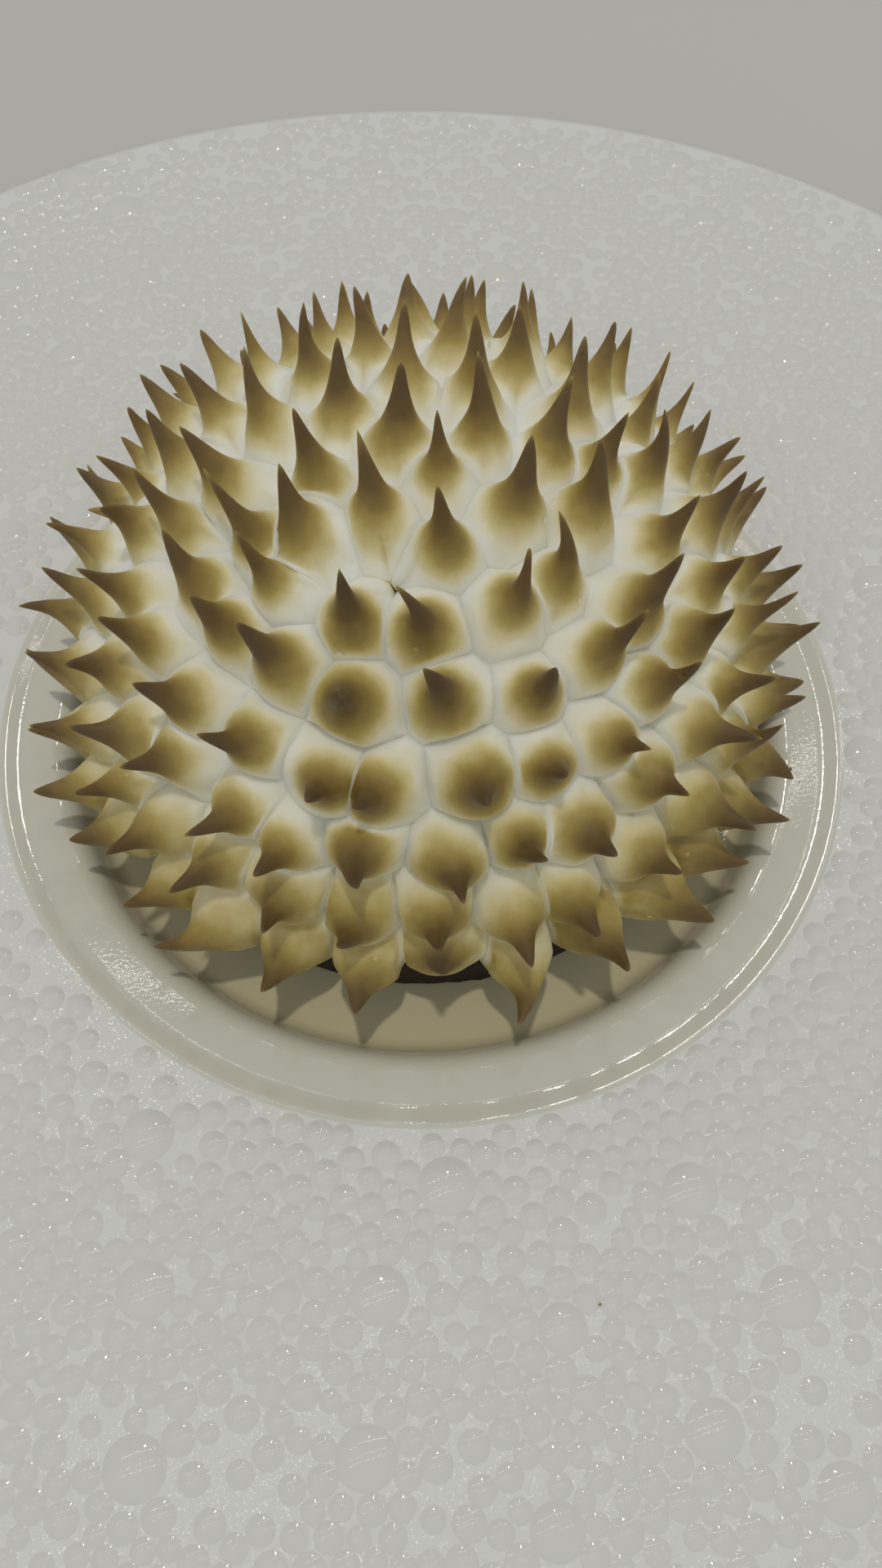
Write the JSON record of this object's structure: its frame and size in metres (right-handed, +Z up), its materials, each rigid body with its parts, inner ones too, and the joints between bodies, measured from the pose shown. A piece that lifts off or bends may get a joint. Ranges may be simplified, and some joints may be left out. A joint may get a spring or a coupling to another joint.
{
  "type": "baked alaska on a plate",
  "caption": "Dome of torched meringue kisses with thin peaks, on a dark sponge disc in the well of a wide-rimmed white plate with a raised bubble relief.",
  "frame": {"origin": "on the plate's axis, at the level that its foot ring stands on", "axes": "+Z up along the plate's axis; -Y towards the viewer, the side where the well shows widest in front of the food"},
  "size_m": [0.31, 0.31, 0.084],
  "materials": {
    "glazed_porcelain": "gloss",
    "chocolate_sponge": "matte",
    "toasted_meringue": "matte"
  },
  "bodies": {
    "root": {"plate": "glazed_porcelain", "base": "chocolate_sponge", "meringue": "toasted_meringue"}
  },
  "joints": []
}
